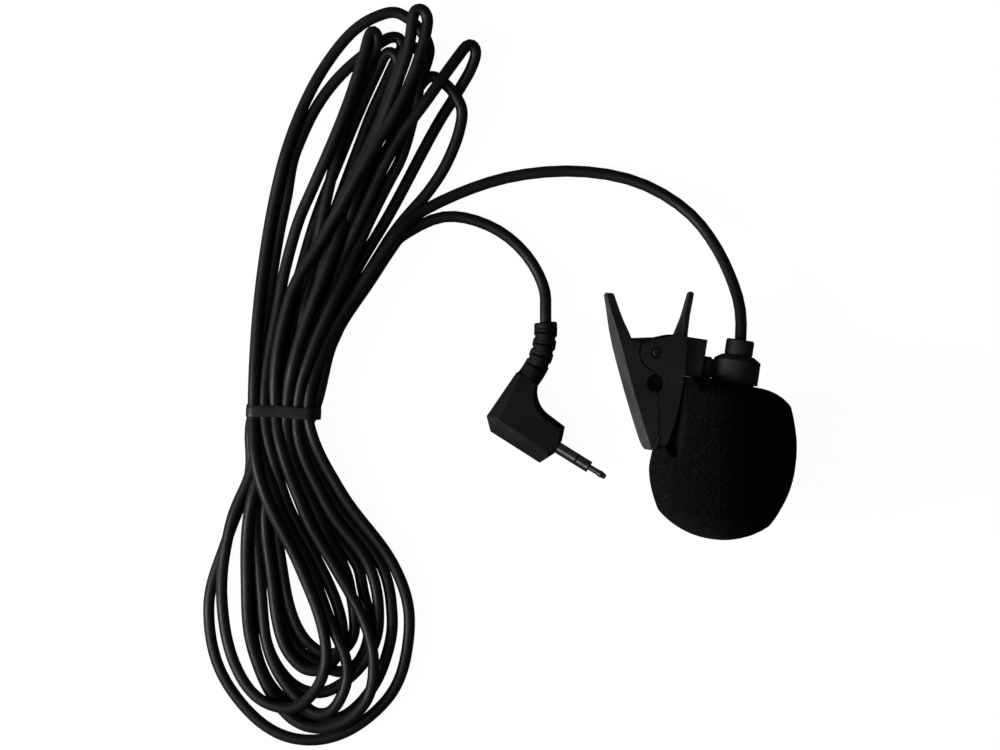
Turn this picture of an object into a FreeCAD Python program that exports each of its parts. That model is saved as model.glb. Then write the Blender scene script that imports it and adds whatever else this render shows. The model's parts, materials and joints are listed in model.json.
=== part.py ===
import FreeCAD, Part
import math
import os

V = FreeCAD.Vector
X, Y, Z = V(1, 0, 0), V(0, 1, 0), V(0, 0, 1)

# ---- Driving dimensions, in millimetres -------------------------------------------------------
# The microphone lies on its round windscreen. +Y runs along its axis towards the cable, +Z is up.
MIC_AXIS = V(7.36, -9.5, 15.0)     # the microphone's own origin: on its axis, in the widest part of the foam
CORD_D = 2.3                       # cable diameter
CORD_R = CORD_D / 2

# Windscreen
FOAM_R = 15.0                      # greatest radius; it touches the surface that the object lies on
FOAM_BOTTOM, FOAM_TOP = -15.7, 17.0
FOAM_BORE_R = 4.5                  # the hole that the barrel sits in
FOAM_BORE_END = 0.6

# Barrel, holder ring and rear cap
BARREL_R, BARREL_WALL = 4.15, 0.75
BARREL_FRONT, BARREL_BACK = 3.0, 23.1
BARREL_NECK_R = 3.2                # where the chamfer behind the shoulder ends
RING_R = 4.9
RING_FRONT, RING_BACK = 17.25, 22.0
CAP_R, CAP_LENGTH, CAP_SPIGOT_R, CAP_SPIGOT = 2.95, 3.3, 2.3, 2.6

# Electret capsule, 6 mm size
CAN_R, CAN_WALL, CAN_FRONT, CAN_LENGTH = 3.0, 0.2, 4.1, 5.0

# Rail that joins the holder ring to the clip
WEB_NEAR, WEB_FAR, WEB_HALF_W = 6.2, 7.4, 2.2    # plate beside the ring, as distances from the axis
RAIL_NEAR, RAIL_FAR = 7.85, 11.3                 # block on the clip's back jaw
RAIL_HALF_W, RAIL_FRONT, RAIL_BACK = 3.0, 17.2, 25.3
TONGUE_HALF_W, TONGUE_NECK = 1.6, 0.7
TONGUE_NEAR, TONGUE_FAR = 9.0, 10.1
RAIL_GAP = 0.15

# Clip: drawn in its own frame, whose Y axis is the microphone's, then tilted about that axis
CLIP_TILT = 14.0                   # degrees; the outer side is raised
CLIP_W = 8.0
PIVOT = V(-18.66, 21.1, 0)
PIN_R, PIN_RECESS_R, PIN_RECESS = 0.85, 1.3, 0.5
PIN_BORE_GAP = 0.05
LOBE_R, LOBE_GAP = 3.5, 0.3        # the back jaw's cheek round the pin, and the front jaw's clearance
CHEEK_OUT, CHEEK_IN = 3.1, 2.8     # the back jaw's cheeks lie outside, the front jaw's inside
SLOT_HALF_W = 1.9                  # the room for the spring between the front jaw's cheeks
BACK_PLANE = -12.05
NOTCH_C, NOTCH_R, NOTCH_DEPTH = V(-17.9, 14.75, 0), 1.95, 3.0
TEETH, TEETH_TOP, TEETH_END = 4, V(-17.35, 12.9, 0), V(-15.35, 2.2, 0)
TOOTH_H, TEETH_GAP = 0.5, 0.25
SPRING_WIRE, SPRING_R, SPRING_TURNS = 0.5, 1.55, 4

# Plug: drawn with its shaft along +X from the origin and the cable arm towards +Y
PLUG_AT, PLUG_ANGLE = V(-26.9, -11.1, 3.5), -23.3
PLUG_HALF_T, PLUG_BEVEL, PLUG_INNER_BEVEL = 3.5, 2.3, 1.3
ARM_FACET_LOW = V(-12.9, 9.0, 0)   # the cable arm's facet is at its lowest here, where the relief begins
SHAFT_R, SHAFT_BORE_R = 1.25, 0.85
COLLAR_R, COLLAR_DEPTH = 1.7, 0.1    # the sleeve's thicker part inside the moulding, and how deep it starts
SLEEVE_END, RING_START, RING_END = 4.4, 4.9, 7.5
TIP_START, TIP_R, TIP_HEAD_R, TIP_END_R, SHAFT_END = 7.9, 0.62, 0.74, 0.5, 11.9
ROD_R, TUBE_R = 0.35, 0.6
RELIEF_R, RELIEF_START, RELIEF_MID, RELIEF_END = 2.35, V(-12.9, 9.0, 0), V(-13.2, 14.8, 0), V(-15.4, 20.1, 0)
RELIEF_SLOTS = 4

# Cable routes, chosen by hand: from the rear cap to the hank, and from the hank to the plug
MIC_LEAD = [(7.36, 16.9, 15.0), (7.36, 22.6, 14.5), (5.6, 30.0, 11.0), (1.2, 37.2, 6.2), (-6.6, 43.2, 2.6),
            (-18.4, 47.4, 1.15), (-31.6, 47.6, 1.15), (-44.6, 44.5, 1.15), (-54.6, 39.6, 1.2), (-63.4, 33.6, 2.4)]
PLUG_LEAD = [(-65.4, 29.6, 1.9), (-59.2, 33.6, 1.25), (-52.4, 34.6, 1.15), (-44.6, 32.9, 1.15), (-38.1, 28.2, 1.2),
             (-34.3, 21.6, 2.2)]

# Hank: its outline above and below the tie, and the tie
TIE_AT, TIE_ANGLE = V(-85.2, -12.3, 0), 5.8
TIE_L = 2.5
HANK_NECK_W, HANK_NECK_H = 14.6, 7.0
HANK_H = 8.0
HANK_UP = [(-96.3, 14.0), (-95.0, 32.0), (-92.0, 51.0), (-85.5, 66.5), (-76.5, 75.8), (-67.0, 77.8), (-57.0, 71.5),
           (-55.6, 56.0), (-61.5, 40.0), (-71.5, 17.0)]
HANK_DOWN = [(-72.5, -21.0), (-62.0, -32.5), (-53.0, -46.0), (-50.5, -60.5), (-56.5, -75.0), (-70.0, -82.0),
             (-82.5, -78.0), (-92.5, -66.0), (-97.0, -53.5), (-93.8, -36.0)]


# ---- Helpers ----------------------------------------------------------------------------------
def ring_along(axis, start, end, outer, inner=0.0):
    """A disc, rod or tube about the microphone's or plug's axis."""
    body = Part.makeCylinder(outer, end - start, axis * start, axis)
    if inner:
        body = body.cut(Part.makeCylinder(inner, end - start + 2, axis * (start - 1), axis))
    return body


def block(x0, x1, y0, y1, z0, z1):
    return Part.makeBox(x1 - x0, y1 - y0, z1 - z0, V(x0, y0, z0))


def revolved(profile):
    """Turns a wire of (radius, y) points about the Y axis."""
    points = [V(r, y, 0) for r, y in profile]
    return Part.Face(Part.makePolygon(points + points[:1])).revolve(V(0, 0, 0), Y, 360)


def prism(points, half):
    """Extrudes an outline in the XY plane by half each way."""
    face = Part.Face(Part.makePolygon(points + points[:1]))
    face.translate(V(0, 0, -half))
    return face.extrude(V(0, 0, 2 * half))


def wire_prism(edges, half):
    face = Part.Face(Part.Wire(edges))
    face.translate(V(0, 0, -half))
    return face.extrude(V(0, 0, 2 * half))


def both_sides(shape):
    """The shape and its mirror image in the clip's middle plane, as one compound's solids."""
    return shape.fuse(shape.mirror(V(0, 0, 0), Z))


def line(a, b):
    return Part.LineSegment(a, b).toShape()


def arc(a, mid, b):
    return Part.Arc(a, mid, b).toShape()


def round_path(points):
    """Straight runs joined by tangent arcs, each as large as its two runs allow. Returns the wire and the radii."""
    pts = [V(*p) for p in points]
    edges, radii, at = [], [], pts[0]
    for before, here, after in zip(pts, pts[1:], pts[2:]):
        run_in, run_out = here - before, after - here
        cut = 0.45 * min(run_in.Length, run_out.Length)
        turn = run_in.getAngle(run_out)
        radii.append(cut / math.tan(turn / 2))
        u_in, u_out = run_in.normalize(), run_out.normalize()
        start, end = here - u_in * cut, here + u_out * cut
        to_centre = (u_out - u_in).normalize()
        centre = here + to_centre * (radii[-1] / math.cos(turn / 2))
        edges += [line(at, start), arc(start, centre - to_centre * radii[-1], end)]
        at = end
    edges.append(line(at, pts[-1]))
    return Part.Wire(edges), radii


def tube_along(points, name):
    path, radii = round_path(points)
    start = V(*points[0])
    section = Part.Wire(Part.makeCircle(CORD_R, start, V(*points[1]) - start))
    tube = path.makePipeShell([section], True, True)
    ratio = tube.Volume / (math.pi * CORD_R**2 * path.Length)
    print(name, "length", round(path.Length, 1), "volume ratio", round(ratio, 4),
          "radii", [round(r, 1) for r in radii])
    return tube


# ---- Microphone ---------------------------------------------------------------------------------
def mic_barrel():
    inner = BARREL_R - BARREL_WALL
    outside = revolved([(0, BARREL_FRONT), (BARREL_R, BARREL_FRONT), (BARREL_R, RING_BACK + 0.55),
                        (BARREL_NECK_R, BARREL_BACK), (0, BARREL_BACK)])
    hollow = ring_along(Y, BARREL_FRONT - 1, BARREL_BACK - 1.2, inner)
    return outside.cut(hollow).cut(ring_along(Y, BARREL_BACK - 2, BARREL_BACK + 1, CAP_SPIGOT_R))


def mic_holder():
    ring = revolved([(BARREL_R, RING_FRONT), (RING_R, RING_FRONT), (RING_R, RING_BACK),
                     (BARREL_R, RING_BACK + 0.55)])
    neck = block(-WEB_NEAR - 0.2, -RING_R + 0.4, RING_FRONT + 0.4, RING_BACK - 0.4, -0.9, 0.9)
    web = block(-WEB_FAR, -WEB_NEAR, RING_FRONT, RING_BACK - 0.1, -WEB_HALF_W, WEB_HALF_W)
    web = web.makeFillet(0.4, [e for e in web.Edges if abs(e.BoundBox.XLength - (WEB_FAR - WEB_NEAR)) < 1e-6])
    stem = block(-TONGUE_NEAR - 0.1, -WEB_FAR + 0.1, RING_FRONT + 0.2, RING_BACK - 0.3, -TONGUE_NECK, TONGUE_NECK)
    tongue = block(-TONGUE_FAR, -TONGUE_NEAR, RING_FRONT + 0.2, RING_BACK - 0.3, -TONGUE_HALF_W, TONGUE_HALF_W)
    rail = tilt(web.fuse([stem, tongue, neck]))
    inside = ring_along(Y, RING_FRONT - 2, RING_BACK + 2, BARREL_R)
    return ring.fuse(rail).cut(inside)


def rear_cap():
    collar = ring_along(Y, BARREL_BACK, BARREL_BACK + CAP_LENGTH, CAP_R)
    rim = [e for e in collar.Edges if e.BoundBox.YMin > BARREL_BACK + CAP_LENGTH - 0.01]
    spigot = ring_along(Y, BARREL_BACK - CAP_SPIGOT, BARREL_BACK, CAP_SPIGOT_R)
    return collar.makeFillet(0.5, rim).fuse(spigot).cut(ring_along(Y, 0, 40, CORD_R))


def front_grille():
    disc = ring_along(Y, BARREL_FRONT - 0.7, BARREL_FRONT, BARREL_R)
    lip = ring_along(Y, BARREL_FRONT, BARREL_FRONT + 0.6, BARREL_R - BARREL_WALL, 2.9)
    grille = disc.fuse(lip)
    holes = [ring_along(Y, 0, 10, 0.4)]
    for count, radius in ((6, 1.25), (12, 2.45)):
        for i in range(count):
            turn = 2 * math.pi * i / count
            hole = ring_along(Y, 0, 10, 0.4)
            hole.translate(V(radius * math.cos(turn), 0, radius * math.sin(turn)))
            holes.append(hole)
    return grille.cut(holes)


def backplate():
    plate = ring_along(Y, CAN_FRONT + 0.75, CAN_FRONT + 1.05, 2.3)
    holes = []
    for i in range(6):
        turn = 2 * math.pi * i / 6
        hole = ring_along(Y, 0, 10, 0.2)
        hole.translate(V(1.5 * math.cos(turn), 0, 1.5 * math.sin(turn)))
        holes.append(hole)
    return plate.cut(holes)


def capsule_can():
    outer = ring_along(Y, CAN_FRONT, CAN_FRONT + CAN_LENGTH, CAN_R)
    inner = ring_along(Y, CAN_FRONT + CAN_WALL, CAN_FRONT + CAN_LENGTH + 1, CAN_R - CAN_WALL)
    return outer.cut(inner).cut(ring_along(Y, CAN_FRONT - 1, CAN_FRONT + 1, 0.9))


def insulator_cup():
    r = CAN_R - CAN_WALL
    return ring_along(Y, CAN_FRONT + 0.75, CAN_FRONT + 4.2, r, 2.3)


def wire_between(a, b, radius):
    return Part.makeCylinder(radius, (b - a).Length, a, b - a)


def solder_joints():
    back = CAN_FRONT + CAN_LENGTH - 0.2
    domes = []
    for x in (-1.3, 1.3):
        ball = Part.makeSphere(0.7, V(x, back, 0))
        domes.append(ball.common(block(-4, 4, back, back + 2, -2, 2)))
    return Part.makeCompound(domes)


def microphone():
    """Every piece that is fixed to the barrel, in the microphone's own frame."""
    can_back = CAN_FRONT + CAN_LENGTH
    tail_front = 15.0
    joint_y = can_back - 0.2 + 0.55
    return {
        "mic_barrel": mic_barrel(),
        "mic_holder": mic_holder(),
        "rear_cap": rear_cap(),
        "front_grille": front_grille(),
        "dust_felt": ring_along(Y, BARREL_FRONT + 0.6, CAN_FRONT, 3.3),
        "capsule_sleeve": ring_along(Y, CAN_FRONT, can_back + 0.6, BARREL_R - BARREL_WALL, CAN_R),
        "capsule_can": capsule_can(),
        "diaphragm_ring": ring_along(Y, CAN_FRONT + CAN_WALL, CAN_FRONT + 0.5, CAN_R - CAN_WALL, 2.2),
        "diaphragm": ring_along(Y, CAN_FRONT + 0.5, CAN_FRONT + 0.6, CAN_R - CAN_WALL),
        "diaphragm_spacer": ring_along(Y, CAN_FRONT + 0.6, CAN_FRONT + 0.75, CAN_R - CAN_WALL, 2.1),
        "backplate": backplate(),
        "insulator_cup": insulator_cup(),
        "capsule_transistor": block(-0.8, 0.8, can_back - 1.7, can_back - 0.8, -0.65, 0.65),
        "capsule_board": ring_along(Y, can_back - 0.8, can_back - 0.2, CAN_R - CAN_WALL),
        "solder_joints": solder_joints(),
        "signal_wire": wire_between(V(-1.3, joint_y, 0), V(-0.35, tail_front, 0), 0.2),
        "shield_wire": wire_between(V(1.3, joint_y, 0), V(0.35, tail_front, 0), 0.25),
        "cable_tail": ring_along(Y, tail_front, BARREL_BACK + CAP_LENGTH, CORD_R),
        "cable_crimp": ring_along(Y, BARREL_BACK - CAP_SPIGOT - 1.1, BARREL_BACK - CAP_SPIGOT - 0.1, 1.8, CORD_R),
    }


def dome_arc(rim, bottom):
    """The arc from a rim to the axis whose centre is on the Y axis."""
    rise = rim.y - bottom.y
    radius = (rim.x**2 + rise**2) / (2 * rise)
    half = math.asin(rim.x / radius) / 2
    return arc(rim, V(radius * math.sin(half), bottom.y + radius * (1 - math.cos(half)), 0), bottom)


def windscreen():
    """A round foam ball with flattened shoulders, open round the barrel, and pressed flat behind the clip."""
    mouth, shoulder, widest = V(FOAM_BORE_R, FOAM_TOP, 0), V(12.2, 14.2, 0), V(FOAM_R, 1.5, 0)
    chin, bottom = V(11.4, -11.2, 0), V(0, FOAM_BOTTOM, 0)
    edges = [arc(mouth, V(8.9, 16.4, 0), shoulder), arc(shoulder, V(14.29, 8.0, 0), widest),
             arc(widest, V(14.11, -5.0, 0), chin), dome_arc(chin, bottom)]
    inner = [bottom, V(0, FOAM_BORE_END, 0), V(FOAM_BORE_R, FOAM_BORE_END, 0), mouth]
    edges += [line(a, b) for a, b in zip(inner, inner[1:])]
    ball = Part.Face(Part.Wire(edges)).revolve(V(0, 0, 0), Y, 360)
    ball = Part.makeSolid(ball) if ball.ShapeType == "Shell" else ball
    pressed = tilt(block(-30, BACK_PLANE + 0.35, 0.3, 30, -20, 20))
    return ball.cut(pressed)


# ---- Clip -----------------------------------------------------------------------------------------
def tilt(shape):
    shape = shape.copy()
    shape.rotate(V(0, 0, 0), Y, CLIP_TILT)
    return shape


def teeth_line(shift, height):
    """The zigzag between the jaws, from the notch down to the tips."""
    along = (TEETH_END - TEETH_TOP) * (1.0 / TEETH)
    points = [TEETH_TOP + V(shift, 0, 0)]
    for i in range(TEETH):
        low = TEETH_TOP + along * (i + 0.5)
        points += [low + V(shift + height, 0, 0), TEETH_TOP + along * (i + 1) + V(shift, 0, 0)]
    return points


def lobe_point(radius, degrees):
    return PIVOT + V(radius * math.cos(math.radians(degrees)), radius * math.sin(math.radians(degrees)), 0)


def face_outline(points, x0=-40, x1=0):
    """A prism through the clip's width whose outline is seen along X: points are (y, z)."""
    wire = Part.makePolygon([V(x0, y, z) for y, z in points + points[:1]])
    return Part.Face(wire).extrude(V(x1 - x0, 0, 0))


def plan_outline(tip_y, tip_half, shoulders, end_y, end_round):
    """Half of the outline a person sees when facing a jaw, mirrored: a tapered handle and a rounded tip."""
    half = CLIP_W / 2
    side = [(tip_y, tip_half * 0.6), (tip_y - 0.6, tip_half)] + shoulders
    side += [(end_y + end_round, half), (end_y + end_round * 0.35, half - end_round * 0.25), (end_y, half - end_round)]
    return side + [(y, -z) for y, z in reversed(side)]


def front_jaw():
    half = CLIP_W / 2
    outer = (V(-16.5, 0.9, 0), V(-24.95, 18.3, 0), V(-30.3, 31.3, 0))
    clear = LOBE_R + LOBE_GAP
    teeth = teeth_line(-TEETH_GAP / 2, TOOTH_H)
    web_top = V(NOTCH_C.x - TEETH_GAP / 2, NOTCH_C.y + NOTCH_R, 0)
    lobe_low, lobe_high = lobe_point(clear, 247), lobe_point(clear, 157)
    inner = [V(-30.05, 31.85, 0), V(-28.9, 31.9, 0), V(-26.4, 26.7, 0), V(-24.1, 22.8, 0), lobe_high]
    edges = [arc(*outer), line(outer[2], inner[0])] + [line(a, b) for a, b in zip(inner, inner[1:])]
    edges.append(arc(lobe_high, lobe_point(clear, 200), lobe_low))
    lower = [lobe_low, web_top] + teeth + [V(-15.6, 1.3, 0), outer[0]]
    edges += [line(a, b) for a, b in zip(lower, lower[1:])]
    body = wire_prism(edges, half)
    cheek_arc = [arc(lobe_point(3.0, 90), lobe_point(3.0, 0), lobe_point(3.0, -90))]
    cheek_pts = [lobe_point(3.0, -90), V(-21.5, 16.5, 0), V(-25.0, 19.0, 0), V(-24.6, 23.0, 0), lobe_point(3.0, 90)]
    cheeks = wire_prism(cheek_arc + [line(a, b) for a, b in zip(cheek_pts, cheek_pts[1:])], CHEEK_IN)
    body = body.fuse(cheeks.common(keep_left_of_pivot()))
    # Room for the spring, the pin's bore, the cable notch and the shape seen from the front
    slot = prism([V(-24.0, 40, 0), V(-24.0, 19.0, 0), V(-19.5, 16.9, 0), V(-10, 16.9, 0), V(-10, 40, 0)], SLOT_HALF_W)
    handle_clear = prism([V(-24.0, 22.8, 0), V(-24.0, 40, 0), V(-10, 40, 0), V(-10, 22.8, 0)], 10)
    body = body.cut(slot).cut(handle_clear.common(block(-24.0, 0, 24.2, 40, -10, 10)))
    body = body.cut(ring_along(Z, -10, 10, PIN_R + PIN_BORE_GAP).translated(PIVOT))
    body = body.cut(notch())
    outline = plan_outline(32.0, 1.3, [(28.4, 2.0), (24.5, 3.4), (21.0, half)], 0.8, 2.0)
    return body.common(face_outline(outline)).removeSplitter()


def keep_left_of_pivot():
    """The inner cheeks stop short of the back jaw's spine and block."""
    return block(-40, -13.9, 16.3, 25.5, -10, 10)


def notch():
    """The round cable notch behind the teeth, sunk from both sides, with small teeth across its lower edge."""
    half = CLIP_W / 2
    hole = Part.makeCylinder(NOTCH_R, NOTCH_DEPTH, V(NOTCH_C.x, NOTCH_C.y, half - NOTCH_DEPTH), Z)
    for i in range(3):
        at = V(NOTCH_C.x - 1.1 + 1.1 * i, NOTCH_C.y - NOTCH_R + 0.1, half - NOTCH_DEPTH)
        hole = hole.cut(Part.makeCylinder(0.28, NOTCH_DEPTH, at, Z))
    return both_sides(hole)


def back_jaw():
    half = CLIP_W / 2
    teeth = teeth_line(TEETH_GAP / 2, TOOTH_H)
    web_top = V(NOTCH_C.x + TEETH_GAP / 2, NOTCH_C.y + NOTCH_R - 0.3, 0)
    jaw = [web_top] + teeth + [V(-14.9, 1.9, 0), V(-13.6, 2.2, 0), V(-12.6, 7.0, 0), V(-12.3, 10.2, 0),
                               V(BACK_PLANE, 13.6, 0), V(BACK_PLANE, 16.5, 0), V(-15.9, 16.0, 0)]
    block_part = prism(jaw, half).cut(notch())
    low, high = lobe_point(LOBE_R, 249), lobe_point(LOBE_R, 157)
    rest = [high, V(-18.45, 23.95, 0), V(-15.3, 25.1, 0), V(-12.6, 25.6, 0), V(-12.25, 20.5, 0),
            V(BACK_PLANE, 16.5, 0), V(BACK_PLANE, 14.0, 0), V(-15.0, 14.0, 0), V(-15.9, 15.75, 0), low]
    cheek = wire_prism([arc(low, lobe_point(LOBE_R, 203), high)] + [line(a, b) for a, b in zip(rest, rest[1:])], half)
    cheek = cheek.cut(block(-40, 0, 0, 40, -CHEEK_OUT, CHEEK_OUT))
    plate = prism([V(-13.6, 25.2, 0), V(-13.15, 29.0, 0), V(-12.75, 34.3, 0), V(-12.45, 34.7, 0), V(-11.95, 34.7, 0),
                   V(-11.7, 34.3, 0), V(-12.6, 25.6, 0), V(-12.25, 20.5, 0), V(BACK_PLANE, 16.4, 0),
                   V(BACK_PLANE - 1.2, 16.0, 0), V(-13.35, 20.5, 0)], half)
    outline = plan_outline(34.75, 0.9, [(29.6, 1.9), (26.6, 3.3), (25.2, half)], 1.9, 1.6)
    body = block_part.fuse([cheek, plate]).common(face_outline(outline))
    body = body.fuse(rail_block())
    pin_hole = ring_along(Z, -10, 10, PIN_R).translated(PIVOT)
    recess = both_sides(ring_along(Z, half - PIN_RECESS, half + 1, PIN_RECESS_R).translated(PIVOT))
    return body.cut(pin_hole).cut(recess).removeSplitter()


def rail_block():
    """The block behind the back jaw, with a T slot that is open towards the windscreen."""
    body = block(-RAIL_FAR - 1.2, -RAIL_NEAR, RAIL_FRONT, RAIL_BACK, -RAIL_HALF_W, RAIL_HALF_W)
    edges = [e for e in body.Edges if abs(e.BoundBox.YLength - (RAIL_BACK - RAIL_FRONT)) < 1e-6 and e.BoundBox.XMax > -9]
    body = body.makeFillet(0.5, edges)
    gap = RAIL_GAP
    top = RING_BACK - 0.3 + gap
    stem = block(-TONGUE_NEAR - 0.5, 0, 0, top, -TONGUE_NECK - gap, TONGUE_NECK + gap)
    tongue = block(-TONGUE_FAR - gap, -TONGUE_NEAR + gap, 0, top, -TONGUE_HALF_W - gap, TONGUE_HALF_W + gap)
    return body.cut(stem.fuse(tongue))


def pivot_pin():
    half = CLIP_W / 2
    pin = ring_along(Z, -half + 0.05, half - 0.05, PIN_R)
    ends = [e for e in pin.Edges if e.BoundBox.ZLength < 1e-6]
    pin = pin.makeFillet(0.3, ends).cut(both_sides(ring_along(Z, half - 0.4, half, 0.3)))
    return pin.translated(PIVOT)


def clip_spring():
    """A torsion spring round the pin, whose two legs press the jaws' walls apart behind the pin."""
    pitch = SPRING_WIRE + 0.12
    height = pitch * SPRING_TURNS
    turns = [Part.makeHelix(pitch, pitch, SPRING_R).translated(Z * (pitch * i)) for i in range(SPRING_TURNS)]
    section = Part.makeCircle(SPRING_WIRE / 2, V(SPRING_R, 0, 0), V(0, SPRING_R, pitch / (2 * math.pi)))
    coil = Part.Wire([edge for turn in turns for edge in turn.Edges]).makePipeShell([Part.Wire(section)], True, True)
    coil.rotate(V(0, 0, 0), Z, 90)
    coil.translate(PIVOT - V(0, 0, height / 2))
    legs = []
    for end, side in ((V(-23.7, 22.0, 0), -1), (V(-13.75, 23.0, 0), 1)):
        start = lobe_point(SPRING_R, 90) + V(0, 0, side * height / 2)
        legs.append(wire_between(start, end + V(0, 0, side * height / 2), SPRING_WIRE / 2))
    return Part.makeCompound([coil] + legs)


# ---- Plug ---------------------------------------------------------------------------------------
def beyond(point, normal):
    """A large block on the side of a plane that its normal points to."""
    slab = Part.makeBox(80, 80, 20, V(-40, -40, 0))
    slab.Placement = FreeCAD.Placement(point, FreeCAD.Rotation(Z, normal))
    return slab


def cut_facet(body, point, inward, size, drop):
    """Cuts a sloping facet on the top and its mirror image below: it falls by drop over size, outwards."""
    for up in (-1, 1):
        start = V(point.x, point.y, up * (PLUG_HALF_T - drop))
        body = body.cut(beyond(start, Z * (size * up) - inward * drop))
    return body


def plug_elbow():
    corners = [V(-15.7, 9.0, 0), V(-16.2, -2.3, 0), V(-13.8, -4.6, 0), V(-1.5, -4.75, 0), V(0, -1.5, 0),
               V(0, 1.7, 0), V(-1.0, 4.55, 0), V(-5.3, 4.95, 0)]
    arm_end, inner_bend = V(-10.4, 9.0, 0), arc(corners[7], V(-8.45, 6.21, 0), V(-10.4, 9.0, 0))
    edges = [line(corners[i], corners[i + 1]) for i in range(7)] + [inner_bend, line(arm_end, corners[0])]
    body = wire_prism(edges, PLUG_HALF_T)
    inner = [e for e in body.Edges if abs(e.BoundBox.ZMin) > PLUG_HALF_T - 0.01 and e.BoundBox.ZLength < 0.01
             and e.BoundBox.YMin > 4.5 and e.BoundBox.XMin > -10.5]
    body = body.makeChamfer(PLUG_INNER_BEVEL, inner)
    for i, size in ((0, PLUG_BEVEL), (1, PLUG_BEVEL), (2, PLUG_BEVEL + 0.7), (3, 1.2), (5, 1.2)):
        along = (corners[i + 1] - corners[i]).normalize()
        body = cut_facet(body, corners[i], Z.cross(along), size, 0.8 * size)
    body = cut_facet(body, ARM_FACET_LOW, V(0.6, -0.8, 0), 6.4, 0.9)
    body = cut_facet(body, V(0, 0, 0), V(-1, 0, 0), 5.2, 0.4)
    for start, end, radius in ((-14.5, 1, SHAFT_R), (-7.8, -COLLAR_DEPTH, COLLAR_R), (-9.0, -7.8, COLLAR_R + 0.3)):
        body = body.cut(ring_along(X, start, end, radius))
    return body.removeSplitter()


def relief_path():
    return Part.Wire(arc(RELIEF_START, RELIEF_MID, RELIEF_END))


def plug_relief():
    """A bent sleeve with slots cut across it from above, below and both sides in turn."""
    path = relief_path()
    start_tangent = path.Edges[0].tangentAt(path.Edges[0].FirstParameter)
    body = path.makePipeShell([Part.Wire(Part.makeCircle(RELIEF_R, RELIEF_START, start_tangent))], True, True)
    edge = path.Edges[0]
    first, last = edge.FirstParameter, edge.LastParameter
    for i in range(RELIEF_SLOTS):
        for j, side in enumerate((V(0, 0, 1), V(0, 0, -1), None, None)):
            share = (i + 0.75 + (0.0 if j < 2 else 0.5)) / (RELIEF_SLOTS + 0.65)
            if share > 0.95:
                continue
            at = edge.valueAt(first + (last - first) * share)
            along = edge.tangentAt(first + (last - first) * share)
            across = along.cross(Z)
            out = side if side else across * (1 if j == 2 else -1)
            wide = across if side else Z
            body = body.cut(slot_block(at, along, out, wide))
    return body


def slot_block(at, along, out, wide):
    """One slot: 0.8 long, 2.6 wide, and 0.75 deep."""
    base = at + out * (RELIEF_R - 0.75) - along * 0.4 - wide * 1.3
    corners = [base, base + along * 0.8, base + along * 0.8 + wide * 2.6, base + wide * 2.6]
    return Part.Face(Part.makePolygon(corners + corners[:1])).extrude(out * 2)


def plug_tip():
    profile = [V(-12.0, 0, 0), V(-12.0, ROD_R, 0), V(TIP_START, ROD_R, 0), V(TIP_START, TIP_R, 0),
               V(SHAFT_END - 1.9, TIP_R, 0), V(SHAFT_END - 1.3, TIP_HEAD_R, 0), V(SHAFT_END, TIP_END_R, 0),
               V(SHAFT_END, 0, 0)]
    return Part.Face(Part.makePolygon(profile + profile[:1])).revolve(V(0, 0, 0), X, 360)


def plug():
    """The plug's pieces, in its own frame."""
    flange = ring_along(X, -9.0, -7.8, COLLAR_R + 0.3, SHAFT_BORE_R)
    collar = ring_along(X, -7.8, -COLLAR_DEPTH, COLLAR_R, SHAFT_BORE_R)
    return {
        "plug_elbow": plug_elbow(),
        "plug_strain_relief": plug_relief(),
        "plug_sleeve": ring_along(X, -9.0, SLEEVE_END, SHAFT_R, SHAFT_BORE_R).fuse(collar).fuse(flange),
        "plug_rear_insulator": ring_along(X, -10.5, RING_START, SHAFT_BORE_R, TUBE_R).fuse(
            ring_along(X, SLEEVE_END, RING_START, SHAFT_R, TUBE_R)),
        "plug_ring": ring_along(X, RING_START, RING_END, SHAFT_R, SHAFT_BORE_R - 0.1).fuse(
            ring_along(X, RING_START, RING_START + 0.5, SHAFT_R, 0.45)).fuse(
            ring_along(X, -11.2, RING_START + 0.4, TUBE_R, 0.45)),
        "plug_front_insulator": ring_along(X, RING_START + 0.5, RING_END, SHAFT_BORE_R - 0.1, ROD_R).fuse(
            ring_along(X, RING_END, TIP_START, SHAFT_R, ROD_R)),
        "plug_tip": plug_tip(),
    }


def place_plug(shape):
    shape = shape.copy()
    shape.rotate(V(0, 0, 0), Z, PLUG_ANGLE)
    shape.translate(PLUG_AT)
    return shape


# ---- Cable ----------------------------------------------------------------------------------------
def hank_solid():
    """The outer shape of the hank: two rounded lobes that meet in the neck under the tie."""
    neck = [place_tie(V(x, y, 0)) for x, y in ((HANK_NECK_W / 2, TIE_L / 2), (HANK_NECK_W / 2, -TIE_L / 2),
                                               (-HANK_NECK_W / 2, -TIE_L / 2), (-HANK_NECK_W / 2, TIE_L / 2))]
    lobes = []
    for points, ends in ((HANK_UP, (neck[3], neck[0])), (HANK_DOWN, (neck[1], neck[2]))):
        curve = Part.BSplineCurve()
        curve.interpolate([ends[0]] + [V(x, y, 0) for x, y in points] + [ends[1]])
        lobes.append(Part.Face(Part.Wire([curve.toShape(), line(ends[1], ends[0])])).extrude(V(0, 0, HANK_H)))
    middle = Part.Face(Part.makePolygon(neck + neck[:1])).extrude(V(0, 0, HANK_NECK_H))
    return lobes[0].fuse([lobes[1], middle]).removeSplitter()


def place_tie(point):
    return TIE_AT + FreeCAD.Rotation(Z, TIE_ANGLE).multVec(point)


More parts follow.
